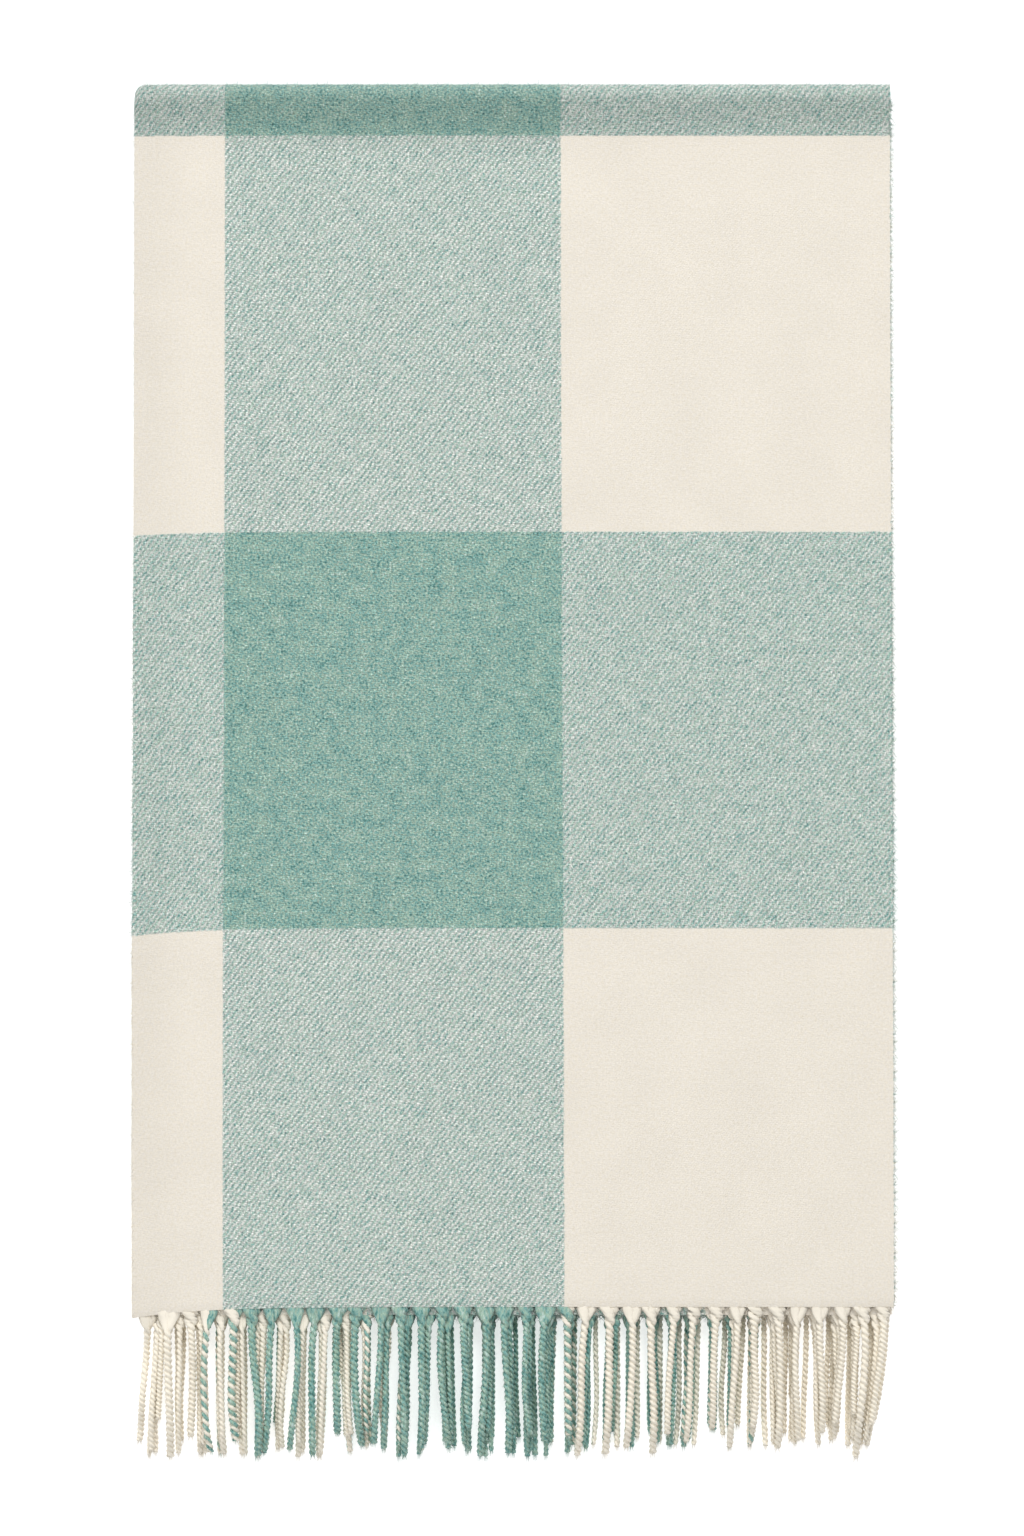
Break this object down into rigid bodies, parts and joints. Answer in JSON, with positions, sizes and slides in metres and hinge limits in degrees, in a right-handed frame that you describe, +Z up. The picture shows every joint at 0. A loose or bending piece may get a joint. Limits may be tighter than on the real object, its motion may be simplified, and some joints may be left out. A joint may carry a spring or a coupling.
{
  "type": "folded throw blanket",
  "caption": "Fringed checked wool throw, folded in thirds across and once lengthwise; the upper half opens about the top fold.",
  "frame": {"origin": "bottom centre of the folded throw, on the surface that it lies on", "axes": "+Z up out of the cloth, +Y along the throw towards the top fold, with the fringes at -Y, +X across the throw towards the outer selvedge"},
  "size_m": [0.5, 0.9052, 0.0165],
  "materials": {
    "check_wool": "brushed wool twill in a cream and teal check, matt with a short nap",
    "cream_tassels": "two-ply twisted cream wool, matt",
    "teal_tassels": "two-ply twisted teal wool, matt"
  },
  "bodies": {
    "back_half": {"back_outer_panel": "check_wool", "back_middle_panel": "check_wool", "back_inner_panel": "check_wool", "back_left_fold": "check_wool", "back_right_fold": "check_wool", "top_fold_outer": "check_wool", "top_fold_middle": "check_wool", "top_fold_inner": "check_wool", "back_outer_fringe_cream_left": "cream_tassels", "back_outer_fringe_teal": "teal_tassels", "back_outer_fringe_cream_right": "cream_tassels", "back_middle_fringe_cream_left": "cream_tassels", "back_middle_fringe_teal": "teal_tassels", "back_middle_fringe_cream_right": "cream_tassels", "back_inner_fringe_cream_left": "cream_tassels", "back_inner_fringe_teal": "teal_tassels", "back_inner_fringe_cream_right": "cream_tassels"},
    "front_half": {"front_outer_panel": "check_wool", "front_middle_panel": "check_wool", "front_inner_panel": "check_wool", "front_left_fold": "check_wool", "front_right_fold": "check_wool", "front_outer_fringe_cream_left": "cream_tassels", "front_outer_fringe_teal": "teal_tassels", "front_outer_fringe_cream_right": "cream_tassels", "front_middle_fringe_cream_left": "cream_tassels", "front_middle_fringe_teal": "teal_tassels", "front_middle_fringe_cream_right": "cream_tassels", "front_inner_fringe_cream_left": "cream_tassels", "front_inner_fringe_teal": "teal_tassels", "front_inner_fringe_cream_right": "cream_tassels"}
  },
  "joints": [
    {"name": "top_fold", "type": "hinge", "parent": "back_half", "child": "front_half", "pos_m": [0, 0.44438, 0.00825], "axis": [-1, 0, 0], "range_deg": [0, 179.9], "deforming": ["top_fold_outer", "top_fold_middle", "top_fold_inner"]}
  ]
}
